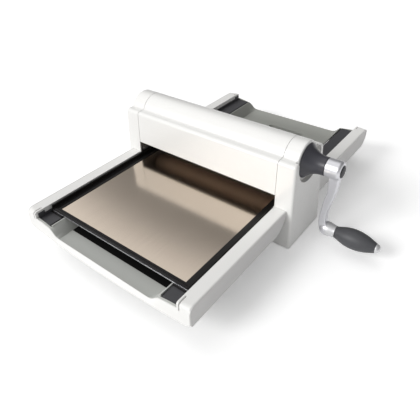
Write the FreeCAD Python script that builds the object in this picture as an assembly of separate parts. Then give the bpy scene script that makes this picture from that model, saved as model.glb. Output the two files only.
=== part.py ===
import FreeCAD, Part
import math
import os

# Manual die cutting machine, in millimetres.
# +X points to the crank side, +Y to the rear, +Z up.
# The origin is on the ground, under the middle of the machine.
# The platform is drawn at the front, as it stands ready for loading.

V = FreeCAD.Vector

# Housing: the cover between the seams and the two end cheeks
seam_x = 164.3
seam_gap = 0.8
cheek_x = 200.7
cheek_lean = 0.012
cheek_foot_z = 1.5
wall = 3.0
apron_bottom_z = 103.6
apron_top_z = 158.0
apron_top_y = 51.8
apron_flare = 0.045
shoulder_z = 170.8
shoulder_round = 7.0
dome_r = 36.3
dome_z = 157.6
dome_foot_round = 4.0
cheek_round = 4.5

# Recess in the right cheek behind the bell, with the rounded end of the dome standing in it
recess_x = 190.6
recess_r = 40.5
recess_z = 160.5
cap_x = 193.2
cap_round = 2.5

# Trays, front and rear, measured outward from the middle as d
tray_half_x = 189.4
tray_start_d = 54.8
inner_start_d = 26.0
inner_x = 163.5
wide_start_d = 57.2
tray_bottom_z = 44.3
rail_top_z = 80.5
rail_in_x = 165.0
rail_wall = 3.4
rail_end_d = 317.4
rail_end_round = 5.0
rail_corner_round = 12.0
rear_low_round = 31.0
panel_t = 2.0
panel_gap = 0.3
panel_end_d = 314.2
ledge_top_z = 62.0
ledge_t = 3.5
ledge_in_x = 130.0
slot_in_x = 168.2
slot_out_x = 170.4
slot_d = 299.9
slot_low_z = 65.8
corner_round = 3.0
house_round_r = 39.0

# End lip: its top edge lies in a plane across the tray and its foot is bowed outward
lip_face_d = 316.2
lip_foot_d = 322.5
lip_foot_bow = 5.0
lip_foot_z = 41.6
lip_corner_x = 176.0
lip_corner_rise = 4.0
lip_in_d = 313.4
lip_edge_t = 0.9
lip_seat_z = 48.0
lip_edge = [(0.0, 50.0), (60.0, 50.0), (106.0, 50.0), (112.0, 51.0), (117.0, 54.0), (122.0, 59.0),
            (127.0, 62.6), (131.0, 63.9), (145.0, 66.0), (165.0, 68.2)]
rim_start_d = 311.0

# Grey inserts behind the lips and the floors under the platform
insert_half_x = 129.4
insert_wall = 1.9
insert_top_z = 66.2
trough_in_d = 283.0
trough_steps = 5
floor_z = 44.7
floor_t = 2.0
floor_half_x = 113.0
floor_start_d = 58.0
window_left_x = -36.0
window_right_x = 56.0
window_near_d = 222.0
window_far_d = 270.0
window_round = 7.0
window_rim_t = 2.0
window_rim_z = 34.0

# Runners that carry the platform
runner_top_z = 66.0
runner_step_z = 63.2
runner_in_x = 130.2
runner_step_x = 132.8
runner_leg_t = 2.0
runner_leg_z = 71.5
runner_tip_z = 76.6
runner_tip_d = 299.0
runner_end_d = 311.6

# Sliding platform
platform_front_y = -284.2
platform_length = 330.2
platform_half_x = 160.2
platform_bottom_z = 66.5
sheet_z = 68.7
sheet_t = 1.7
frame_top_z = 74.0
frame_side_x = 162.2
frame_side_t = 2.6
frame_side_z = 79.8
plate_top_z = 71.5
plate_half_x = 147.3
plate_inset_y = 8.8
toe_in_x = 132.8
toe_out_y = 3.3
toe_back_y = 8.0

# Rollers, their axes and journals
roller_r = 20.2
roller_half_x = 161.5
lower_axis_z = 46.0
upper_axis_z = 116.0
journal_r = 9.0
clip_seat_r = 8.2
clip_r = 11.6
clip_inset = 1.1
run_gap = 0.05

# Frame inside the housing
side_plate_x = 165.5
side_plate_t = 5.5
bush_r = 13.0
bush_flange_r = 15.0
bush_flange_t = 1.4
crank_axis_z = 158.0
shaft_r = 8.0
tie_r = 6.0
tie_places = [(-40.0, 145.0), (40.0, 145.0), (-40.0, 22.0), (40.0, 22.0)]
boss_places = [(-31.0, 160.0), (31.0, 160.0), (-43.5, 83.0), (43.5, 83.0), (-43.5, 33.0), (43.5, 33.0)]
boss_r = 3.9
base_z = 8.0
base_t = 3.0
base_half_y = 52.0
pan_screw_y = 18.0
pan_screw_z = 19.0
bracket_screw_y = 32.0
bracket_screw_z = 50.0
screw_hole_r = 2.2
foot_places = [(-148.0, -35.0), (-148.0, 35.0), (0.0, 0.0), (148.0, -35.0), (148.0, 35.0)]
cover_screw_x = 140.0
cover_screw_y = 40.0
tray_screw_x = 150.0
tray_screw_ds = [80.0, 150.0, 220.0]

# Gears
gear_module = 2.0
sync_teeth = 35
drive_teeth = 28
pinion_teeth = 14
gear_x = 172.8
gear_w = 6.6
gear_end = 2.4
addendum = 0.8
dedendum = 1.0
backlash = 0.24
pressure = math.radians(20.0)

# Crank: bell, hub, arm and handle
bell_x = 193.8
bell_end_x = 229.8
bell_rim_r = 31.8
bell_neck_r = 16.4
hub_x = 231.2
hub_end_x = 256.9
hub_r = 16.8
hub_round = 5.0
plug_r = 11.2
plug_dome = 2.5
grip_axis_z = 32.0
arm_half_y = 6.8
arm_round = 2.0
arm_top_z = 150.0
spindle_r = 4.0
ferrule_x = 245.0
grip_x = 261.8
grip_end_x = 333.0
cap_end_x = 340.6


def box(x0, x1, y0, y1, z0, z1):
    return Part.makeBox(x1 - x0, y1 - y0, z1 - z0, V(x0, y0, z0))


def rod_x(x0, x1, y, z, r):
    return Part.makeCylinder(r, x1 - x0, V(x0, y, z), V(1, 0, 0))


def prism(points, direction):
    wire = Part.makePolygon(points + [points[0]])
    return Part.Face(wire).extrude(direction)


def joined(shapes):
    body = shapes[0].multiFuse(shapes[1:]) if len(shapes) > 1 else shapes[0]
    return body.removeSplitter()


def turned(points, smooth=True):
    """A body turned about an axis parallel to X: points are (x, radius), the axis is at Z zero."""
    start = V(points[0][0], 0, 0)
    end = V(points[-1][0], 0, 0)
    line = [V(x, 0, r) for x, r in points]
    edges = [Part.makeLine(start, line[0])]
    if smooth:
        curve = Part.BSplineCurve()
        curve.interpolate(line)
        edges.append(curve.toShape())
    else:
        edges += [Part.makeLine(a, b) for a, b in zip(line, line[1:])]
    edges.append(Part.makeLine(line[-1], end))
    edges.append(Part.makeLine(end, start))
    return Part.Face(Part.Wire(edges)).revolve(V(0, 0, 0), V(1, 0, 0), 360)


def at_height(shape, z):
    return shape.translated(V(0, 0, z))


def to_front(shape):
    return shape.mirror(V(0, 0, 0), V(0, 1, 0))


def to_left(shape):
    return shape.mirror(V(0, 0, 0), V(1, 0, 0))


def side_y(z):
    return apron_top_y + (apron_top_z - z) * apron_flare


def housing_edge(inset, bottom_z):
    """Right half of the housing outline in the YZ plane, from the bottom to the top of the dome."""
    y_low = side_y(bottom_z) - inset
    y_top = apron_top_y - inset
    z_sh = shoulder_z - inset
    r_sh = max(shoulder_round - inset, 1.5)
    r_dome = dome_r - inset
    r_foot = dome_foot_round + inset
    foot_z = z_sh + r_foot
    foot_y = math.sqrt((r_dome + r_foot) ** 2 - (foot_z - dome_z) ** 2)
    touch = r_dome / (r_dome + r_foot)
    dome_touch = V(0, foot_y * touch, dome_z + (foot_z - dome_z) * touch)
    to_dome = math.atan2(dome_touch.z - foot_z, dome_touch.y - foot_y)
    middle = (to_dome - math.pi / 2) / 2
    if to_dome > 0:
        middle = (to_dome - 2 * math.pi - math.pi / 2) / 2
    foot_mid = V(0, foot_y + r_foot * math.cos(middle), foot_z + r_foot * math.sin(middle))
    half_turn = math.atan2(dome_touch.z - dome_z, dome_touch.y)
    dome_turn = (half_turn + math.pi / 2) / 2
    dome_mid = V(0, r_dome * math.cos(dome_turn), dome_z + r_dome * math.sin(dome_turn))
    diag = r_sh * (1 - math.sqrt(0.5))
    side_end = V(0, y_top, z_sh - r_sh)
    flat_start = V(0, y_top - r_sh, z_sh)
    return [
        Part.makeLine(V(0, y_low, bottom_z), side_end),
        Part.Arc(side_end, V(0, y_top - diag, z_sh - diag), flat_start).toShape(),
        Part.makeLine(flat_start, V(0, foot_y, z_sh)),
        Part.Arc(V(0, foot_y, z_sh), foot_mid, dome_touch).toShape(),
        Part.Arc(dome_touch, dome_mid, V(0, 0, dome_z + r_dome)).toShape(),
    ]


def housing_body(x0, x1, inset, bottom_z):
    half = housing_edge(inset, bottom_z)
    other = [edge.mirror(V(0, 0, 0), V(0, 1, 0)) for edge in half]
    y_low = side_y(bottom_z) - inset
    base = Part.makeLine(V(0, -y_low, bottom_z), V(0, y_low, bottom_z))
    wire = Part.Wire(Part.__sortEdges__(half + other + [base]))
    return Part.Face(wire).extrude(V(x1 - x0, 0, 0)).translated(V(x0, 0, 0))


def top_cover():
    half = seam_x - seam_gap / 2
    shell = housing_body(-half, half, 0, apron_bottom_z)
    shell = shell.cut(housing_body(-half - 1, half + 1, wall, apron_bottom_z - 20))
    posts = []
    for x in (-cover_screw_x, cover_screw_x):
        for y in (-cover_screw_y, cover_screw_y):
            post = Part.makeCylinder(4.5, 17.5, V(x, y, 151.2))
            posts.append(post.cut(Part.makeCylinder(1.7, 12.0, V(x, y, 151.2))))
    return joined([shell] + posts)


def end_x(z):
    """The end face of a cheek leans inward a little, going up."""
    return cheek_x - cheek_lean * z


def beyond_end(inset):
    low_z = -20.0
    high_z = 220.0
    corners = [V(end_x(low_z) - inset, -90, low_z), V(end_x(high_z) - inset, -90, high_z),
               V(260, -90, high_z), V(260, -90, low_z)]
    return prism(corners, V(0, 180, 0))


def outer_edges(body):
    picked = []
    for edge in body.Edges:
        middle = edge.CenterOfMass
        if abs(middle.x - end_x(middle.z)) < 0.02 and edge.BoundBox.ZMax > cheek_foot_z + 1:
            picked.append(edge)
    return picked


def dome_cap():
    """The end of the dome in the right cheek, with its rounded rim."""
    cap = rod_x(seam_x + seam_gap / 2, cap_x, 0, dome_z, dome_r)
    return cap.makeFillet(cap_round, [edge for edge in cap.Edges if edge.BoundBox.XMin > cap_x - 0.01])


def cheek(with_recess):
    near_x = seam_x + seam_gap / 2
    body = housing_body(near_x, cheek_x + 2, 0, cheek_foot_z).cut(beyond_end(0))
    body = body.makeFillet(cheek_round, outer_edges(body))
    hollow = housing_body(near_x - 1, cheek_x + 2, wall, cheek_foot_z - 20).cut(beyond_end(wall))
    if with_recess:
        body = joined([body.cut(rod_x(recess_x, cheek_x + 5, 0, recess_z, recess_r)), dome_cap()])
        hollow = hollow.cut(rod_x(recess_x - wall, cheek_x + 5, 0, recess_z, recess_r + wall))
    body = body.cut(hollow)
    bosses = []
    boss_x = side_plate_x + side_plate_t + 0.2
    for y, z in boss_places:
        near = with_recess and math.hypot(y, z - recess_z) < recess_r
        end = (recess_x if near else end_x(z)) - wall + 0.5
        post = rod_x(boss_x, end, y, z, boss_r)
        bosses.append(post.cut(rod_x(boss_x, boss_x + 12, y, z, 1.5)))
    body = joined([body] + bosses)
    if with_recess:
        body = body.cut(rod_x(recess_x - 20, cap_x + 1, 0, crank_axis_z, shaft_r + 2.0))
    return body


def lower_panel():
    half = seam_x - seam_gap / 2
    y = side_y(20.0)
    panel = box(-half, half, y - wall, y, 3.0, 42.0)
    foot = box(-half, half, base_half_y - 6.0, y, base_z - 2.5, base_z)
    return joined([panel, foot])


def edge_height(x):
    """Height of the top edge of the lip at a place across the tray."""
    for (x0, z0), (x1, z1) in zip(lip_edge, lip_edge[1:]):
        if abs(x) <= x1:
            return z0 + (z1 - z0) * (abs(x) - x0) / (x1 - x0)
    return rail_top_z - rail_corner_round


def outside_lip():
    """The space outside and under the end of a tray, whose white face leans out down to its foot."""
    places = [x for x, z in lip_edge] + [lip_corner_x, (lip_corner_x + tray_half_x) / 2, tray_half_x + 1.0]
    sections = []
    for x in [-one for one in reversed(places[1:])] + places:
        share = (x / tray_half_x) ** 2
        face_d = lip_face_d + (rail_end_d - lip_face_d) * share ** 3
        foot_d = lip_foot_d - lip_foot_bow * share
        corner = max(0.0, abs(x) - lip_corner_x) / (tray_half_x - lip_corner_x)
        foot_z = lip_foot_z + (tray_bottom_z - lip_foot_z) * share + lip_corner_rise * corner ** 2
        corners = [(face_d, 100), (face_d, edge_height(x)), (foot_d, foot_z), (lip_in_d - 20, foot_z),
                   (lip_in_d - 20, 20), (360, 20), (360, 100), (face_d, 100)]
        sections.append(Part.makePolygon([V(x, d, z) for d, z in corners]))
    return Part.makeLoft(sections, True, True)


def above_edge():
    """The space above the top edge of the lip, between the rails."""
    right = [V(x, 0, z) for x, z in lip_edge]
    left = [V(-x, 0, z) for x, z in reversed(lip_edge[1:])]
    return prism(left + right + [V(rail_in_x, 0, 100), V(-rail_in_x, 0, 100)], V(0, 60, 0))


def beside_housing(x0, x1):
    """What the large round lower corner of a rail leaves free, next to the housing."""
    r = house_round_r
    cx = tray_start_d - 1.0 + r
    cz = tray_bottom_z + r - 0.1
    block = box(x0, x1, tray_start_d - 3, cx, lip_foot_z - 2, cz)
    return block.cut(Part.makeCylinder(r, x1 - x0, V(x0, cx, cz), V(1, 0, 0)))


def end_corner(places, level_z, way):
    """What a rounded end corner leaves free: places are (x, end d, radius), way is up or down."""
    sections = []
    for x, end_d, r in places:
        back = V(x, end_d - r, level_z)
        front = V(x, end_d, level_z - way * r)
        diag = r * (1 - math.sqrt(0.5))
        middle = V(x, end_d - diag, level_z - way * diag)
        far = V(x, end_d + 15, level_z - way * r)
        far_out = V(x, end_d + 15, level_z + way * 8)
        out = V(x, end_d - r, level_z + way * 8)
        sections.append(Part.Wire([Part.Arc(back, middle, front).toShape(), Part.makeLine(front, far),
                                   Part.makeLine(far, far_out), Part.makeLine(far_out, out),
                                   Part.makeLine(out, back)]))
    return Part.makeLoft(sections, True, True)


def rail_top_corner():
    return end_corner([(rail_in_x, rail_end_d, rail_end_round),
                       (tray_half_x + 1, rail_end_d, rail_corner_round)], rail_top_z, 1)


def rail_low_corner():
    return end_corner([(ledge_in_x, lip_foot_d - 1.5, 1.0), (rail_in_x, rail_end_d, rear_low_round),
                       (tray_half_x + 1, rail_end_d, rear_low_round)], tray_bottom_z, -1)


def both_sides(cutter):
    return Part.makeCompound([cutter, to_left(cutter)])


def tray(is_rear):
    half = tray_half_x - panel_t - panel_gap
    body = box(-tray_half_x, tray_half_x, inner_start_d, 335, lip_foot_z, rail_top_z)
    body = body.cut(outside_lip())
    corner_x = tray_half_x - corner_round
    corner_d = rail_end_d + 0.6 - corner_round
    corner = box(corner_x, tray_half_x + 1, corner_d, corner_d + 20, 0, 100)
    body = body.cut(both_sides(corner.cut(Part.makeCylinder(corner_round, 100, V(corner_x, corner_d, 0)))))
    body = body.cut(box(-300, 300, 0, lip_in_d - 19, 0, tray_bottom_z))
    rim_d = lip_face_d - lip_edge_t
    body = body.cut(box(-rail_in_x, rail_in_x, wide_start_d, rim_d, ledge_top_z, 100))
    body = body.cut(box(-inner_x, inner_x, 0, wide_start_d + 1, ledge_top_z, 100))
    body = body.cut(box(-ledge_in_x, ledge_in_x, 0, lip_in_d, 0, 100))
    body = body.cut(box(-ledge_in_x, ledge_in_x, 0, rim_d, lip_seat_z, 100))
    body = body.cut(above_edge().translated(V(0, rim_d - 1, 0)))
    hollow_x = rail_in_x + rail_wall
    hollow_d = rail_end_d - 14
    cutters = [rail_top_corner(),
               box(half, tray_half_x + 2, 0, panel_end_d + panel_gap, 0, 100),
               box(hollow_x, half - 2.5, 0, hollow_d, 0, rail_top_z - 2.6),
               box(ledge_in_x - 1, hollow_x + 1, 0, hollow_d, 0, ledge_top_z - ledge_t),
               box(slot_in_x, slot_out_x, slot_d, 340, slot_low_z, 100),
               box(inner_x, tray_half_x + 2, 0, tray_start_d, 0, 100),
               beside_housing(inner_x, tray_half_x + 2),
               housing_body(inner_x, cheek_x, -panel_gap, cheek_foot_z)]
    if is_rear:
        cutters.append(rail_low_corner())
    for cutter in cutters:
        body = body.cut(both_sides(cutter))
    return body.removeSplitter()


def side_panel(is_rear):
    x0 = tray_half_x - panel_t
    body = box(x0, tray_half_x, tray_start_d, panel_end_d, tray_bottom_z, rail_top_z)
    body = body.cut(rail_top_corner())
    body = body.cut(beside_housing(x0 - 1, tray_half_x + 1))
    body = body.cut(housing_body(inner_x, cheek_x, -panel_gap, cheek_foot_z))
    if is_rear:
        body = body.cut(rail_low_corner())
    edges = [edge for edge in body.Edges
             if abs(edge.BoundBox.XMin - tray_half_x) < 0.01 and abs(edge.BoundBox.ZMin - rail_top_z) < 0.01]
    return body.makeFillet(1.4, edges)


def trough_section(d, profile):
    side_x = insert_half_x - insert_wall
    right = [V(x, d, z) for x, z in profile] + [V(side_x, d, 100)]
    left = [V(-one.x, d, one.z) for one in reversed(right)]
    return left + right


def trough():
    """The space above the insert: flat floor, leaning sides, and the hollow sweep up to the lip."""
    side_x = insert_half_x - insert_wall
    rise = (insert_top_z - floor_z) / 3
    step = (side_x - floor_half_x) / 3
    inner = [(floor_half_x + step * n, floor_z + rise * n) for n in range(4)]
    outer = [(106.0, 50.0), (114.0, 52.0), (121.0, 58.0), (side_x, 62.8)]
    straight = prism(trough_section(floor_start_d - 5, inner), V(0, trough_in_d + 5 - floor_start_d, 0))
    sections = []
    for n in range(trough_steps + 1):
        t = n / trough_steps
        d = trough_in_d + (lip_face_d - trough_in_d) * t
        share = t ** 2
        profile = [(x0 + (x1 - x0) * share, z0 + (z1 - z0) * share)
                   for (x0, z0), (x1, z1) in zip(inner, outer)]
        corners = trough_section(d, profile)
        sections.append(Part.makePolygon(corners + [corners[0]]))
    return Part.makeCompound([straight, Part.makeLoft(sections, True, False)])


def scoop():
    """Grey insert: the trough behind the lip, its rim over the lip, and the sides along the runners."""
    low_z = floor_z - floor_t
    rim_d = lip_face_d - lip_edge_t - 0.1
    rim_x = rail_in_x - 0.2
    floor_end = box(-insert_half_x, insert_half_x, trough_in_d, lip_in_d - 0.1, low_z, insert_top_z)
    over_lip = box(-insert_half_x, insert_half_x, lip_in_d - 1, rim_d, lip_seat_z + 0.1, insert_top_z)
    rim = box(-rim_x, rim_x, runner_end_d + 0.2, rim_d, ledge_top_z + 0.1, insert_top_z + 3)
    foot_x = floor_half_x + 0.2
    side_x = insert_half_x - insert_wall
    side = prism([V(foot_x, floor_start_d, low_z), V(foot_x + insert_wall, floor_start_d, low_z),
                  V(insert_half_x, floor_start_d, insert_top_z - 3),
                 V(insert_half_x, floor_start_d, insert_top_z),
                  V(side_x, floor_start_d, insert_top_z), V(foot_x, floor_start_d, floor_z + 0.3)],
                 V(0, trough_in_d + 5 - floor_start_d, 0))
    body = joined([floor_end, over_lip, rim, side, to_left(side)])
    for cutter in trough().Solids:
        body = body.cut(cutter)
    return body.cut(above_edge().translated(V(0, rim_start_d, 0))).removeSplitter()


def window_block(grow, z0, z1):
    """Upright block with rounded corners, the shape of the window in the rear floor."""
    block = box(window_left_x - grow, window_right_x + grow,
                window_near_d - grow, window_far_d + grow, z0, z1)
    upright = [edge for edge in block.Edges if edge.BoundBox.ZLength > 5]
    return block.makeFillet(window_round + grow, upright)


def floor_panel(with_window):
    body = box(-floor_half_x, floor_half_x, floor_start_d, trough_in_d - 0.2, floor_z - floor_t, floor_z)
    if with_window:
        rim = window_block(window_rim_t, window_rim_z, floor_z)
        body = joined([body, rim]).cut(window_block(0, window_rim_z - 1, floor_z + 10))
    return body


def runner():
    out_x = rail_in_x - 0.2
    base = box(runner_step_x, inner_x - 0.2, inner_start_d, runner_end_d, ledge_top_z, runner_top_z)
    step = box(runner_in_x, runner_step_x, inner_start_d, runner_end_d, ledge_top_z, runner_step_z)
    wide = box(inner_x - 1, out_x, wide_start_d + 0.2, runner_end_d, ledge_top_z, runner_top_z)
    leg = box(out_x - runner_leg_t, out_x, wide_start_d + 0.2, runner_end_d, ledge_top_z, runner_leg_z)
    tip = box(out_x - runner_leg_t, out_x, runner_tip_d, runner_end_d, ledge_top_z, runner_tip_z)
    return joined([base, step, wide, leg, tip])


def platform_base():
    """Black slide base under the sheet, set back in the middle and with a toe over each runner."""
    y0 = platform_front_y
    y1 = platform_front_y + platform_length
    body = box(-platform_half_x, platform_half_x, y0 - toe_out_y, y1 + toe_out_y, platform_bottom_z, sheet_z)
    body = body.cut(box(-toe_in_x, toe_in_x, y0 - 10, y0 + toe_back_y, 60, 80))
    return body.cut(box(-toe_in_x, toe_in_x, y1 - toe_back_y, y1 + 10, 60, 80))


def platform_sheet():
    y0 = platform_front_y - 0.8
    y1 = platform_front_y + platform_length + 0.8
    return box(-platform_half_x, platform_half_x, y0, y1, sheet_z, sheet_z + sheet_t)


def platform_ring(half_out, half_in, z0, z1):
    """A rectangular ring of the platform rim, given by its distance from the outer edge."""
    y0 = platform_front_y
    y1 = platform_front_y + platform_length
    edge_out = platform_half_x - half_out
    edge_in = platform_half_x - half_in
    ring = box(-half_out, half_out, y0 + edge_out, y1 - edge_out, z0, z1)
    return ring.cut(box(-half_in, half_in, y0 + edge_in, y1 - edge_in, z0 - 1, z1 + 1))


def platform_frame():
    bottom = sheet_z + sheet_t
    y0 = platform_front_y
    body = box(-platform_half_x, platform_half_x, y0, y0 + platform_length, bottom, frame_top_z)
    upright = [edge for edge in body.Edges if edge.BoundBox.ZLength > 3]
    body = body.makeFillet(3.0, upright)
    pocket_y0 = y0 + plate_inset_y
    pocket_y1 = y0 + platform_length - plate_inset_y
    body = body.cut(box(-plate_half_x, plate_half_x, pocket_y0, pocket_y1, bottom - 1, 90))
    body = body.cut(platform_ring(157.0, 155.6, 72.6, 90))
    body = body.cut(platform_ring(154.0, plate_half_x - 1, 72.3, 90))
    body = body.cut(platform_ring(155.6, 154.0, 73.5, 90))
    wall = box(frame_side_x - frame_side_t, frame_side_x, y0, y0 + platform_length, bottom, frame_side_z)
    return joined([body, wall, to_left(wall)])


def platform_plate():
    y0 = platform_front_y + plate_inset_y + 0.15
    y1 = platform_front_y + platform_length - plate_inset_y - 0.15
    half = plate_half_x - 0.15
    return box(-half, half, y0, y1, sheet_z + sheet_t, plate_top_z)


def side_plate():
    """Steel end frame with seats for the roller bushes and the crank bush."""
    x0 = side_plate_x
    outline = [(-48.5, 5.0), (48.5, 5.0), (48.5, 150.0), (21.0, 177.0), (-21.0, 177.0), (-48.5, 150.0)]
    body = prism([V(x0, y, z) for y, z in outline], V(side_plate_t, 0, 0))
    x1 = x0 + side_plate_t
    for z in (lower_axis_z, upper_axis_z):
        body = body.cut(rod_x(x0 - 1, x1 + 1, 0, z, bush_r))
    places = tie_places + boss_places
    for side in (-1, 1):
        places = places + [(side * pan_screw_y, pan_screw_z), (side * bracket_screw_y, bracket_screw_z)]
    for y, z in places:
        body = body.cut(rod_x(x0 - 1, x1 + 1, y, z, screw_hole_r))
    return body


def bush(x_face, z, bore_r, outer_r, flange_r, length):
    body = rod_x(x_face, x_face + length, 0, z, outer_r)
    flange = rod_x(x_face - bush_flange_t, x_face, 0, z, flange_r)
    return joined([body, flange]).cut(rod_x(x_face - 5, x_face + length + 5, 0, z, bore_r + run_gap))


def roller_bushes():
    right = [bush(side_plate_x, z, journal_r, bush_r, bush_flange_r, side_plate_t)
             for z in (lower_axis_z, upper_axis_z)]
    return Part.makeCompound(right + [to_left(one) for one in right])


def crank_bracket():
    """Steel box bracket that holds the inner end of the crank shaft."""
    x0 = 138.0
    plate = box(x0, x0 + 4.0, -17.0, 17.0, 141.0, 175.0)
    legs = [box(x0, side_plate_x, -13.0, 13.0, z, z + 3.0) for z in (141.0, 172.0)]
    body = joined([plate] + legs)
    return body.cut(rod_x(x0 - 1, x0 + 6, 0, crank_axis_z, 10.5))


def crank_bushes():
    inner = bush(138.0, crank_axis_z, shaft_r, 10.5, 12.5, 4.0)
    outer = bush(side_plate_x, crank_axis_z, shaft_r, 10.5, 12.5, side_plate_t)
    return Part.makeCompound([inner, outer])


def tie_bars():
    bars = []
    for y, z in tie_places:
        bar = rod_x(-side_plate_x, side_plate_x, y, z, tie_r)
        for side in (-1, 1):
            x0, x1 = sorted((side * (side_plate_x - 14), side * (side_plate_x + 1)))
            bar = bar.cut(rod_x(x0, x1, y, z, 2.0))
            if z > upper_axis_z:
                bar = bar.cut(Part.makeCylinder(screw_hole_r, 30, V(side * cover_screw_x, y, z - 15)))
        bars.append(bar)
    return Part.makeCompound(bars)


def base_pan():
    body = box(-side_plate_x, side_plate_x, -base_half_y, base_half_y, base_z, base_z + base_t)
    for side in (-1, 1):
        x0, x1 = sorted((side * (side_plate_x - base_t), side * side_plate_x))
        body = body.fuse(box(x0, x1, -28.0, 28.0, base_z, 29.0))
        for y in (-pan_screw_y, pan_screw_y):
            body = body.cut(rod_x(x0 - 2, x1 + 2, y, pan_screw_z, screw_hole_r))
    for x, y in foot_places:
        body = body.cut(Part.makeCylinder(screw_hole_r, 20, V(x, y, base_z - 5)))
    return body.removeSplitter()


def feet():
    pads = []
    for x, y in foot_places:
        pad = Part.makeCone(8.0, 8.8, base_z, V(x, y, 0))
        pad = pad.cut(Part.makeCylinder(4.2, 4.0, V(x, y, 0)))
        pads.append(pad.cut(Part.makeCylinder(screw_hole_r, 20, V(x, y, -1))))
    return Part.makeCompound(pads)


def tray_bracket():
    """Steel bar under a runner, with a foot that bolts to the inner face of the side plate."""
    top = ledge_top_z - ledge_t
    bar = box(138.0, side_plate_x, inner_start_d, 47.0, top - 4.0, top)
    arm = box(138.0, 160.0, 47.0, 232.0, top - 4.0, top)
    foot = box(side_plate_x - 3.5, side_plate_x, inner_start_d, 44.0, 40.0, top)
    body = joined([bar, arm, foot])
    body = body.cut(rod_x(side_plate_x - 5, side_plate_x + 1, bracket_screw_y, bracket_screw_z, screw_hole_r))
    for d in tray_screw_ds:
        body = body.cut(Part.makeCylinder(screw_hole_r, 8, V(tray_screw_x, d, top - 6)))
    return body


def screw(centre, direction, head_r, head_h, shank_r, length):
    """Pan head screw: centre is under the head, the shank runs along direction."""
    head = Part.makeCylinder(head_r, head_h, centre, direction.negative())
    shank = Part.makeCylinder(shank_r, length, centre, direction)
    recess = Part.makeCylinder(head_r * 0.42, head_h * 0.6, centre - direction * head_h, direction)
    return joined([head, shank]).cut(recess)


def frame_screws():
    inward = V(-1, 0, 0)
    x = side_plate_x + side_plate_t
    right = [screw(V(x, y, z), inward, 4.0, 2.6, 1.95, side_plate_t + 9) for y, z in tie_places]
    for side in (-1, 1):
        pan = V(x, side * pan_screw_y, pan_screw_z)
        bracket = V(x, side * bracket_screw_y, bracket_screw_z)
        right.append(screw(pan, inward, 3.6, 1.0, 1.95, side_plate_t + base_t))
        right.append(screw(bracket, inward, 3.6, 1.0, 1.95, side_plate_t + 3.5))
    return Part.makeCompound(right + [to_left(one) for one in right])


def cheek_screws():
    right = [screw(V(side_plate_x, y, z), V(1, 0, 0), 3.2, 2.0, 1.45, side_plate_t + 10)
             for y, z in boss_places]
    return Part.makeCompound(right + [to_left(one) for one in right])


def cover_screws():
    screws = []
    for x in (-cover_screw_x, cover_screw_x):
        for y in (-cover_screw_y, cover_screw_y):
            screws.append(screw(V(x, y, 139.0), V(0, 0, 1), 3.4, 2.2, 1.65, 23.0))
    return Part.makeCompound(screws)


def foot_screws():
    screws = []
    for x, y in foot_places:
        screws.append(screw(V(x, y, 4.0), V(0, 0, 1), 4.0, 2.2, 2.0, base_z - 4.0 + base_t))
    return Part.makeCompound(screws)


def tray_screws():
    screws = []
    z = ledge_top_z - ledge_t - 4.0
    for d in tray_screw_ds:
        for x in (-tray_screw_x, tray_screw_x):
            for y in (-d, d):
                screws.append(screw(V(x, y, z), V(0, 0, 1), 3.4, 2.0, 1.9, 4.0))
    return Part.makeCompound(screws)


def involute(angle):
    return math.tan(angle) - angle


def gear(teeth, x0, width, bore_r, tooth_at):
    """Spur gear about X. tooth_at is the direction of one tooth, in degrees from +Y towards +Z."""
    pitch_r = gear_module * teeth / 2
    base_r = pitch_r * math.cos(pressure)
    tip_r = pitch_r + addendum * gear_module
    root_r = pitch_r - dedendum * gear_module
    start_r = max(base_r, root_r)
    half = math.pi / (2 * teeth) - backlash / (2 * pitch_r) + involute(pressure)
    edges = []
    first = None
    last = None
    for n in range(teeth):
        mid = math.radians(tooth_at) + 2 * math.pi * n / teeth
        flank = []
        for step in range(5):
            r = start_r + (tip_r - start_r) * step / 4
            turn = half - involute(math.acos(min(1.0, base_r / r)))
            flank.append((r, turn))
        rising = [V(x0, r * math.cos(mid - t), r * math.sin(mid - t)) for r, t in flank]
        falling = [V(x0, r * math.cos(mid + t), r * math.sin(mid + t)) for r, t in reversed(flank)]
        foot_turn = flank[0][1]
        foot_in = V(x0, root_r * math.cos(mid - foot_turn), root_r * math.sin(mid - foot_turn))
        foot_out = V(x0, root_r * math.cos(mid + foot_turn), root_r * math.sin(mid + foot_turn))
        if last is None:
            first = foot_in
        else:
            edges.append(Part.makeLine(last, foot_in))
        if start_r > root_r + 0.01:
            edges.append(Part.makeLine(foot_in, rising[0]))
        curve = Part.BSplineCurve()
        curve.interpolate(rising)
        edges.append(curve.toShape())
        tip_mid = V(x0, tip_r * math.cos(mid), tip_r * math.sin(mid))
        edges.append(Part.Arc(rising[-1], tip_mid, falling[0]).toShape())
        curve = Part.BSplineCurve()
        curve.interpolate(falling)
        edges.append(curve.toShape())
        if start_r > root_r + 0.01:
            edges.append(Part.makeLine(falling[-1], foot_out))
        last = foot_out
    edges.append(Part.makeLine(last, first))
    blank = Part.Face(Part.Wire(edges)).extrude(V(width, 0, 0))
    return blank.cut(rod_x(x0 - 1, x0 + width + 1, 0, 0, bore_r))


def lightened(body, x0, width, inner_r, outer_r, recess):
    """Turn a shallow ring out of both faces of a gear."""
    for x in (x0, x0 + width - recess):
        ring = rod_x(x, x + recess, 0, 0, outer_r).cut(rod_x(x - 1, x + recess + 1, 0, 0, inner_r))
        body = body.cut(ring)
    return body


def sync_gear(z, tooth_at):
    body = gear(sync_teeth, gear_x, gear_w, journal_r, tooth_at)
    return to_left(at_height(lightened(body, gear_x, gear_w, 15.0, 29.0, 1.6), z))


def drive_gear():
    body = gear(drive_teeth, gear_x, gear_w, journal_r, 90.0)
    return at_height(lightened(body, gear_x, gear_w, 13.5, 22.5, 1.6), upper_axis_z)


def pinion():
    body = gear(pinion_teeth, gear_x, gear_w, shaft_r, -90.0 + 180.0 / pinion_teeth)
    return at_height(body, crank_axis_z)


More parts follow.
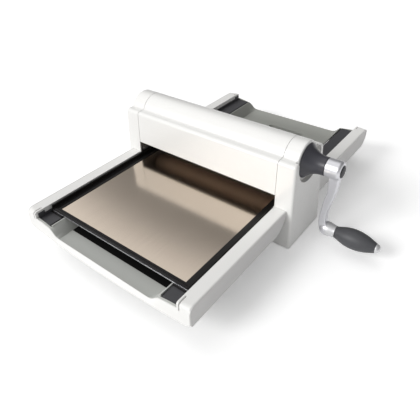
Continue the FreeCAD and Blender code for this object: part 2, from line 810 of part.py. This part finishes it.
def groove_cut(x, z):
    return rod_x(x - 0.5, x + 0.5, 0, z, journal_r + 1).cut(rod_x(x - 1, x + 1, 0, z, clip_seat_r))


def roller(z, left_end, right_end):
    barrel = rod_x(-roller_half_x, roller_half_x, 0, z, roller_r)
    barrel = barrel.makeFillet(1.0, [edge for edge in barrel.Edges if edge.BoundBox.XLength < 0.01])
    body = joined([barrel, rod_x(-left_end, right_end, 0, z, journal_r)])
    for x in (clip_inset - left_end, right_end - clip_inset):
        body = body.cut(groove_cut(x, z))
    return body


def roller_clips(z, left_end, right_end):
    rings = []
    for x in (clip_inset - left_end, right_end - clip_inset):
        ring = rod_x(x - 0.45, x + 0.45, 0, z, clip_r).cut(rod_x(x - 1, x + 1, 0, z, clip_seat_r))
        rings.append(ring.cut(box(x - 1, x + 1, -2.2, 2.2, z, z + clip_r + 1)))
    return Part.makeCompound(rings)


def crank_shaft():
    return rod_x(137.0, hub_end_x - 3.0, 0, crank_axis_z, shaft_r)


def shaft_collar():
    x0 = 144.0
    body = rod_x(x0, x0 + 8.0, 0, crank_axis_z, 13.0)
    return body.cut(rod_x(x0 - 1, x0 + 9, 0, crank_axis_z, shaft_r))


def bell_profile(inset):
    """Outline of the flared bell, from the rim to the neck."""
    length = bell_end_x - bell_x
    points = []
    for step in range(9):
        t = step / 8
        r = bell_neck_r + (bell_rim_r - bell_neck_r) * (1 - t) ** 2.7
        points.append((bell_x + length * t, r - inset))
    return points


def bell():
    outer = turned(bell_profile(0))
    inner = turned(bell_profile(2.6))
    inner = inner.common(rod_x(bell_x - 1, bell_end_x - 14, 0, 0, 60))
    hub = rod_x(bell_x + 6, bell_end_x - 1, 0, 0, shaft_r + 2.4)
    body = outer.cut(inner).fuse(hub)
    body = body.cut(rod_x(bell_x - 5, bell_end_x + 5, 0, 0, shaft_r))
    return at_height(body.removeSplitter(), crank_axis_z)


def neck_ring():
    body = rod_x(bell_end_x, hub_x, 0, crank_axis_z, hub_r - 1.3)
    return body.cut(rod_x(bell_end_x - 1, hub_x + 1, 0, crank_axis_z, shaft_r))


def arm_edge(points):
    curve = Part.BSplineCurve()
    curve.interpolate([V(x, 0, z) for x, z in points])
    return curve.toShape()


def crank_arm():
    """Hub, gooseneck arm and the boss of the handle, cast in one piece."""
    left = [(237.0, arm_top_z), (237.0, 132.0), (236.4, 111.0), (233.2, 94.6), (230.0, 71.3),
            (228.2, 50.0), (230.6, 33.0), (239.2, 21.4)]
    right = [(254.2, arm_top_z), (253.8, 131.0), (250.8, 108.6), (247.4, 92.5), (242.3, 67.6),
             (241.3, 54.0), (243.4, 43.8)]
    ends = [(left[0], right[0]), (left[-1], right[-1])]
    edges = [arm_edge(left), arm_edge(right)]
    edges += [Part.makeLine(V(a[0], 0, a[1]), V(b[0], 0, b[1])) for a, b in ends]
    wire = Part.Wire(Part.__sortEdges__(edges))
    blade = Part.Face(wire).extrude(V(0, 2 * arm_half_y, 0)).translated(V(0, -arm_half_y, 0))
    long_edges = [edge for edge in blade.Edges if edge.Length > 60]
    blade = blade.makeFillet(arm_round, long_edges)
    hub = rod_x(hub_x, hub_end_x, 0, crank_axis_z, hub_r)
    far_edge = [edge for edge in hub.Edges if edge.BoundBox.XMin > hub_end_x - 0.01]
    hub = hub.makeFillet(hub_round, far_edge)
    boss = at_height(turned([(229.5, 0.6), (231.0, 6.0), (235.0, 10.4), (240.0, 12.8), (ferrule_x, 13.5)]),
                     grip_axis_z)
    body = joined([hub, blade, boss])
    body = body.cut(rod_x(hub_x - 1, hub_end_x - 3.0, 0, crank_axis_z, shaft_r))
    body = body.cut(rod_x(hub_end_x - 3.0, hub_end_x + 1, 0, crank_axis_z, plug_r - 1.2))
    return body.cut(rod_x(234.0, ferrule_x + 1, 0, grip_axis_z, spindle_r))


def hub_plug():
    """Dark end plug of the hub, a low dome."""
    profile = [(hub_end_x, plug_r)]
    for n in range(1, 6):
        turn = math.radians(16.0 * n)
        profile.append((hub_end_x + plug_dome * math.sin(turn), plug_r * math.cos(turn)))
    stem = rod_x(hub_end_x - 3.0, hub_end_x + 1, 0, 0, plug_r - 1.2)
    return at_height(joined([turned(profile), stem]), crank_axis_z)


def ferrule():
    profile = [(ferrule_x, 13.4), (ferrule_x + 4, 13.0), (ferrule_x + 10, 11.9), (ferrule_x + 16, 11.0)]
    body = turned(profile).cut(rod_x(ferrule_x - 1, ferrule_x + 20, 0, 0, spindle_r))
    return at_height(body, grip_axis_z)


def spindle():
    shaft = rod_x(234.0, 336.0, 0, 0, spindle_r)
    head = rod_x(334.4, 336.4, 0, 0, 5.6)
    return at_height(joined([shaft, head]), grip_axis_z)


def grip():
    profile = [(grip_x, 10.7), (268.0, 12.7), (278.0, 15.9), (292.0, 17.9), (305.0, 17.2), (318.0, 14.2),
               (327.0, 11.0), (grip_end_x, 8.7)]
    body = turned(profile).cut(rod_x(grip_x - 1, grip_end_x + 1, 0, 0, spindle_r + 0.06))
    return at_height(body, grip_axis_z)


def grip_cap():
    profile = [(grip_end_x, 8.6), (336.0, 8.0), (338.6, 6.2), (340.0, 3.9), (cap_end_x, 1.0)]
    body = turned(profile).cut(rod_x(grip_end_x - 1, 336.9, 0, 0, 6.0))
    return at_height(body, grip_axis_z)


def write(name, shape):
    shape.exportStep("parts/" + name + ".step")
    solids = len(shape.Solids)
    print(name, solids, "solids", round(shape.Volume / 1000.0, 1), "cm3", shape.isValid())


os.makedirs("parts", exist_ok=True)

write("top_cover", top_cover())
write("right_cheek", cheek(True))
write("left_cheek", to_left(cheek(False)))
write("rear_lower_panel", lower_panel())
write("front_lower_panel", to_front(lower_panel()))

write("rear_tray", tray(True))
write("front_tray", to_front(tray(False)))
rear_scoop = scoop()
write("rear_scoop", rear_scoop)
write("front_scoop", to_front(rear_scoop))
write("rear_floor", floor_panel(True))
write("front_floor", to_front(floor_panel(False)))

rear_panel = side_panel(True)
front_panel = side_panel(False)
one_runner = runner()
one_bracket = tray_bracket()
write("rear_right_rail_panel", rear_panel)
write("rear_left_rail_panel", to_left(rear_panel))
write("front_right_rail_panel", to_front(front_panel))
write("front_left_rail_panel", to_front(to_left(front_panel)))
write("rear_right_runner", one_runner)
write("rear_left_runner", to_left(one_runner))
write("front_right_runner", to_front(one_runner))
write("front_left_runner", to_front(to_left(one_runner)))
write("rear_tray_brackets", Part.makeCompound([one_bracket, to_left(one_bracket)]))
write("front_tray_brackets", to_front(Part.makeCompound([one_bracket, to_left(one_bracket)])))

write("platform_base", platform_base())
write("platform_sheet", platform_sheet())
write("platform_frame", platform_frame())
write("platform_plate", platform_plate())

right_plate = side_plate().cut(rod_x(side_plate_x - 1, side_plate_x + 8, 0, crank_axis_z, 10.5))
write("right_side_plate", right_plate)
write("left_side_plate", to_left(side_plate()))
write("roller_bushes", roller_bushes())
write("crank_bracket", crank_bracket())
write("crank_bushes", crank_bushes())
write("tie_bars", tie_bars())
write("base_pan", base_pan())
write("rubber_feet", feet())
write("frame_screws", frame_screws())
write("cheek_screws", cheek_screws())
write("cover_screws", cover_screws())
write("foot_screws", foot_screws())
write("tray_screws", tray_screws())

geared_end = gear_x + gear_w + gear_end
plain_end = side_plate_x + side_plate_t + gear_end
write("lower_roller", roller(lower_axis_z, geared_end, plain_end))
write("lower_roller_clips", roller_clips(lower_axis_z, geared_end, plain_end))
write("lower_sync_gear", sync_gear(lower_axis_z, 90.0 + 180.0 / sync_teeth))
write("upper_roller", roller(upper_axis_z, geared_end, geared_end))
write("upper_roller_clips", roller_clips(upper_axis_z, geared_end, geared_end))
write("upper_sync_gear", sync_gear(upper_axis_z, -90.0))
write("drive_gear", drive_gear())

write("crank_shaft", crank_shaft())
write("shaft_collar", shaft_collar())
write("crank_pinion", pinion())
write("crank_bell", bell())
write("neck_ring", neck_ring())
write("crank_arm", crank_arm())
write("hub_plug", hub_plug())
write("grip_ferrule", ferrule())
write("grip_spindle", spindle())
write("grip", grip())
write("grip_cap", grip_cap())
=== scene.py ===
import bpy
import math
from mathutils import Matrix, Vector

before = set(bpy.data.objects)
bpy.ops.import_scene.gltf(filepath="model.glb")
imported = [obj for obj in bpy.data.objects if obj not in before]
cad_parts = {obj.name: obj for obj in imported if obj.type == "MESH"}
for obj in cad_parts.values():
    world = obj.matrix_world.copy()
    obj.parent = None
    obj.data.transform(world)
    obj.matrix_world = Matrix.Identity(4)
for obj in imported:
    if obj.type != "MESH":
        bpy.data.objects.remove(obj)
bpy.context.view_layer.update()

# Light levels: one stands for white paper lit straight on
SKY_LOW = 0.15
SKY_HIGH = 0.70
PANEL = 0.76
SIDE = 0.14
KEY = 0.55
KEY_SOFT = math.radians(24.0)
PAPER_GLOW = 0.24

# Directions from the object towards the lights
KEY_FROM = (-0.36, -0.78, 0.51)
SKY_FROM = (-0.5, -0.55, 0.67)
PANEL_FROM = (-0.6, 0.2, 0.77)
PANEL_END_FROM = (-0.474, 0.867, 0.154)
SIDE_FROM = (0.95, -0.15, 0.25)

# Cosines of the angle to such a direction at which a light starts and is full
SKY_REACH = (0.0, 1.0)
PANEL_REACH = (0.80, 0.95)
PANEL_END_REACH = (0.765, 0.835)
SIDE_REACH = (0.2, 1.0)

# Camera at the photograph's angle
CAMERA_AT = (0.46583, -0.61135, 0.56685)
CAMERA_AZIMUTH = math.radians(38.60)
CAMERA_ELEVATION = math.radians(31.44)
CAMERA_ROLL = math.radians(-1.79)
SENSOR = 36.0
LENS = 38.335
SHIFT_X = 0.0023
SHIFT_Y = -0.1266

# Noise and finish values shared by the materials
CLOUD_SCALE = 21.6
CLOUD_DETAIL = 5.0
GRAIN_SCALE = 1600.0
GRAIN_DETAIL = 3.0
EDGE_SAMPLES = 4
COAT_ROUGH = 0.12
LEAST_ROUGH = 0.02
MM = 0.001

# Floor size in metres, and plain white
FLOOR_SIZE = 30
WHITE = (1.0, 1.0, 1.0, 1.0)

scene = bpy.context.scene
scene.view_settings.view_transform = "Standard"


def fill(tree, made, inputs):
    """Set a node's inputs: another node's output is joined, anything else is a fixed value."""
    for key, value in inputs.items():
        if isinstance(value, bpy.types.NodeSocket):
            tree.links.new(value, made.inputs[key])
        else:
            made.inputs[key].default_value = value
    return made


def node(tree, kind, inputs):
    """Add a shader node and set its inputs."""
    return fill(tree, tree.nodes.new("ShaderNode" + kind), inputs)


def combine(tree, operation, first, second):
    """One value worked out from two."""
    made = tree.nodes.new("ShaderNodeMath")
    made.operation = operation
    return fill(tree, made, {0: first, 1: second}).outputs["Value"]


def blend(tree, kind, factor, first, second):
    """One colour mixed from two."""
    made = tree.nodes.new("ShaderNodeMix")
    made.data_type = "RGBA"
    made.blend_type = kind
    return fill(tree, made, {"Factor": factor, "A": first, "B": second}).outputs["Result"]


# Materials: each look is a small node tree with colour, gloss and height that vary a little.

def build(name, color, rough, metal=0.0, spot=0.03, grain=0.04, grain_scale=GRAIN_SCALE, rough_var=0.06,
          bump=0.02, coat=0.0, edge=0.0004, stretch=(1, 1, 1), spec=0.5):
    """A plastic or metal: spot and grain vary the colour, bump is in millimetres, edge softens corners."""
    mat = bpy.data.materials.new(name)
    mat.use_nodes = True
    tree = mat.node_tree
    tree.nodes.clear()
    place = tree.nodes.new("ShaderNodeTexCoord").outputs["Object"]
    along = node(tree, "Mapping", {"Vector": place, "Scale": stretch}).outputs["Vector"]
    cloud = node(tree, "TexNoise", {"Vector": place, "Scale": CLOUD_SCALE, "Detail": CLOUD_DETAIL})
    fine = node(tree, "TexNoise", {"Vector": along, "Scale": grain_scale, "Detail": GRAIN_DETAIL})
    clouds = cloud.outputs["Fac"]
    grains = fine.outputs["Fac"]

    low = [c * (1 - spot) for c in color]
    high = [min(1.0, c * (1 + spot)) for c in color]
    shade = 1 - grain
    spotted = blend(tree, "MIX", clouds, (*low, 1), (*high, 1))
    colored = blend(tree, "MULTIPLY", grains, spotted, (shade, shade, shade, 1))

    gloss = node(tree, "MapRange", {
        "Value": grains,
        "To Min": max(LEAST_ROUGH, rough - rough_var),
        "To Max": min(1.0, rough + rough_var),
    })
    bumps = node(tree, "Bump", {"Height": grains, "Strength": 1.0, "Distance": bump * MM})
    if edge > 0:
        soft = node(tree, "Bevel", {"Radius": edge})
        soft.samples = EDGE_SAMPLES
        fill(tree, bumps, {"Normal": soft.outputs["Normal"]})

    bsdf = node(tree, "BsdfPrincipled", {
        "Base Color": colored,
        "Roughness": gloss.outputs["Result"],
        "Normal": bumps.outputs["Normal"],
        "Metallic": metal,
        "Specular IOR Level": spec,
        "Coat Weight": coat,
        "Coat Roughness": COAT_ROUGH,
    })
    node(tree, "OutputMaterial", {"Surface": bsdf.outputs["BSDF"]})
    return mat


# White and grey plastic; the darker rear grey is painted shade on the same plastic
white_shell = build("white_shell", (0.88, 0.875, 0.855), 0.28, spot=0.012, bump=0.004, coat=0.1,
                    edge=0.0006)
tray_white = build("tray_white", (0.86, 0.855, 0.835), 0.42, spot=0.015, bump=0.01, edge=0.0008)
panel_grey = build("panel_grey", (0.74, 0.73, 0.72), 0.45, spot=0.02, bump=0.01, edge=0.0005)
insert_grey = build("insert_grey", (0.56, 0.57, 0.54), 0.5, bump=0.015, edge=0.0006)
# The rear scoop and rear floor use the front scoop's grey plastic made darker: painted shade for the
# housing's shadow over the rear tray.
insert_grey_painted_shade = build("insert_grey_painted_shade", (0.32, 0.325, 0.30), 0.5, bump=0.015, edge=0.0006)

# Dark plastic and rubber, and a black that is painted shade
# The front floor is made near black as painted shade: it stands in for the deep shadow under the platform.
painted_shade_black = build("painted_shade_black", (0.006, 0.006, 0.006), 0.6, spot=0.05, spec=0.15)
runner_grey = build("runner_grey", (0.060, 0.060, 0.065), 0.45, spot=0.04, spec=0.3)
frame_black = build("frame_black", (0.008, 0.007, 0.007), 0.40, spot=0.05, bump=0.01, edge=0.0003,
                    spec=0.25)
bell_dark = build("bell_dark", (0.045, 0.045, 0.055), 0.38, spot=0.04, bump=0.015)
trim_black = build("trim_black", (0.012, 0.012, 0.013), 0.35, spot=0.05)
plug_dark = build("plug_dark", (0.035, 0.035, 0.04), 0.5, spot=0.05, spec=0.3)
grip_dark = build("grip_dark", (0.065, 0.066, 0.072), 0.5, spot=0.05)
rubber = build("rubber", (0.03, 0.03, 0.03), 0.75, spot=0.05, bump=0.05)

# Metal
sheet_bright = build("sheet_bright", (0.62, 0.62, 0.65), 0.28, metal=1.0, bump=0.006, stretch=(0.04, 1, 1))
plate_metal = build("plate_metal", (0.60, 0.515, 0.43), 0.14, metal=1.0, bump=0.002, edge=0.0,
                    stretch=(1, 0.02, 1), grain_scale=520, grain=0.09, rough_var=0.02)
roller_dark = build("roller_dark", (0.42, 0.345, 0.30), 0.6, metal=0.1, stretch=(0.1, 1, 1), spec=0.3)
roller_metal = build("roller_metal", (0.55, 0.55, 0.56), 0.3, metal=1.0, stretch=(0.1, 1, 1))
zinc = build("zinc", (0.55, 0.56, 0.58), 0.4, metal=1.0, spot=0.08)
gear_metal = build("gear_metal", (0.38, 0.38, 0.39), 0.42, metal=1.0, spot=0.06)
bronze = build("bronze", (0.55, 0.38, 0.19), 0.42, metal=1.0, spot=0.08)
arm_silver = build("arm_silver", (0.70, 0.70, 0.73), 0.36, metal=0.8, bump=0.01, edge=0.001)
trim_silver = build("trim_silver", (0.70, 0.70, 0.71), 0.45, metal=0.8, bump=0.01, edge=0.0006)

# The pieces that wear each look
CORNERS = ["front_right", "front_left", "rear_right", "rear_left"]
LOOKS = {
    white_shell: ["top_cover", "right_cheek", "left_cheek", "front_lower_panel", "rear_lower_panel"],
    tray_white: ["front_tray", "rear_tray"],
    panel_grey: [corner + "_rail_panel" for corner in CORNERS],
    insert_grey: ["front_scoop"],
    insert_grey_painted_shade: ["rear_scoop", "rear_floor"],
    painted_shade_black: ["front_floor"],
    runner_grey: [corner + "_runner" for corner in CORNERS],
    frame_black: ["platform_frame", "platform_base"],
    sheet_bright: ["platform_sheet"],
    plate_metal: ["platform_plate"],
    roller_dark: ["lower_roller", "upper_roller"],
    roller_metal: ["crank_shaft", "shaft_collar"],
    zinc: ["front_tray_brackets", "rear_tray_brackets", "right_side_plate", "left_side_plate",
           "crank_bracket", "base_pan", "tie_bars", "frame_screws", "cheek_screws", "cover_screws",
           "foot_screws", "tray_screws", "lower_roller_clips", "upper_roller_clips", "grip_spindle"],
    gear_metal: ["lower_sync_gear", "upper_sync_gear", "drive_gear", "crank_pinion"],
    bronze: ["roller_bushes", "crank_bushes"],
    rubber: ["rubber_feet"],
    bell_dark: ["crank_bell"],
    trim_black: ["neck_ring"],
    plug_dark: ["hub_plug"],
    arm_silver: ["crank_arm"],
    trim_silver: ["grip_ferrule", "grip_cap"],
    grip_dark: ["grip"],
}
for look, names in LOOKS.items():
    for name in names:
        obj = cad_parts[name]
        obj.data.materials.clear()
        obj.data.materials.append(look)


# Stage, light and camera

def studio_paper():
    """White paper, a shade whiter to the camera and in reflections than it lights the object."""
    mat = build("studio_paper", (0.90, 0.90, 0.90), 0.9, spot=0.002, grain=0.002,
                bump=0.0, edge=0.0, spec=0.0)
    tree = mat.node_tree
    out = next(n for n in tree.nodes if n.type == "OUTPUT_MATERIAL")
    lit = next(n for n in tree.nodes if n.type == "BSDF_PRINCIPLED").outputs["BSDF"]
    bright = node(tree, "BsdfDiffuse", {"Color": WHITE}).outputs["BSDF"]
    glow = node(tree, "Emission", {"Strength": PAPER_GLOW}).outputs["Emission"]
    both = node(tree, "AddShader", {0: bright, 1: glow}).outputs["Shader"]
    ray = tree.nodes.new("ShaderNodeLightPath")
    seen = combine(tree, "MAXIMUM", ray.outputs["Is Camera Ray"], ray.outputs["Is Glossy Ray"])
    shown = node(tree, "MixShader", {0: seen, 1: lit, 2: both}).outputs["Shader"]
    fill(tree, out, {"Surface": shown})
    return mat


def toward(tree, where, aim, reach, low, high):
    """A value of the sky that goes smoothly from low to high where a direction comes near the aim."""
    start, end = reach
    dot = tree.nodes.new("ShaderNodeVectorMath")
    dot.operation = "DOT_PRODUCT"
    fill(tree, dot, {0: where, 1: Vector(aim).normalized()})
    ramp = tree.nodes.new("ShaderNodeMapRange")
    ramp.interpolation_type = "SMOOTHSTEP"
    fill(tree, ramp, {
        "Value": dot.outputs["Value"],
        "From Min": start,
        "From Max": end,
        "To Min": low,
        "To Max": high,
    })
    return ramp.outputs["Result"]


def studio_world():
    """A soft studio, brighter to the front left, with a large panel at the left and a weak side light."""
    world = bpy.data.worlds.new("studio")
    world.use_nodes = True
    tree = world.node_tree
    tree.nodes.clear()
    where = tree.nodes.new("ShaderNodeTexCoord").outputs["Generated"]
    wide = toward(tree, where, SKY_FROM, SKY_REACH, SKY_LOW, SKY_HIGH)
    panel = toward(tree, where, PANEL_FROM, PANEL_REACH, 0.0, PANEL)
    panel_end = toward(tree, where, PANEL_END_FROM, PANEL_END_REACH, 1.0, 0.0)
    side = toward(tree, where, SIDE_FROM, SIDE_REACH, 0.0, SIDE)
    cut_panel = combine(tree, "MULTIPLY", panel, panel_end)
    front = combine(tree, "ADD", wide, cut_panel)
    strength = combine(tree, "ADD", front, side)
    sky = node(tree, "Background", {"Color": WHITE, "Strength": strength}).outputs["Background"]
    # Above the floor's edge the camera sees plain white, and the light stays as it is.
    plain = node(tree, "Background", {"Color": WHITE}).outputs["Background"]
    ray = tree.nodes.new("ShaderNodeLightPath").outputs["Is Camera Ray"]
    shown = node(tree, "MixShader", {0: ray, 1: sky, 2: plain}).outputs["Shader"]
    node(tree, "OutputWorld", {"Surface": shown})
    return world


def key_light():
    """One soft sun from the front left."""
    data = bpy.data.lights.new("key", "SUN")
    data.energy = KEY * math.pi
    data.angle = KEY_SOFT
    key = bpy.data.objects.new("key", data)
    key.rotation_euler = Vector(KEY_FROM).to_track_quat("Z", "Y").to_euler()
    scene.collection.objects.link(key)


def photo_camera():
    """The photograph's camera: its lens, its place, and its axes from azimuth, elevation and roll."""
    data = bpy.data.cameras.new("camera")
    data.sensor_width = SENSOR
    data.lens = LENS
    data.shift_x = SHIFT_X
    data.shift_y = SHIFT_Y
    level = math.cos(CAMERA_ELEVATION)
    back_x = math.sin(CAMERA_AZIMUTH) * level
    back_y = -math.cos(CAMERA_AZIMUTH) * level
    back = Vector((back_x, back_y, math.sin(CAMERA_ELEVATION)))
    right = (-back).cross(Vector((0, 0, 1))).normalized()
    up = right.cross(-back)
    rolled_right = right * math.cos(CAMERA_ROLL) + up * math.sin(CAMERA_ROLL)
    rolled_up = -right * math.sin(CAMERA_ROLL) + up * math.cos(CAMERA_ROLL)
    turn = Matrix((rolled_right, rolled_up, back)).transposed()
    camera = bpy.data.objects.new("camera", data)
    scene.collection.objects.link(camera)
    camera.matrix_world = Matrix.Translation(CAMERA_AT) @ turn.to_4x4()
    return camera


bpy.ops.mesh.primitive_plane_add(size=FLOOR_SIZE, location=(0, 0, 0))
ground = bpy.context.object
ground.name = "studio_floor"
ground.data.materials.append(studio_paper())
scene.world = studio_world()
key_light()
scene.camera = photo_camera()
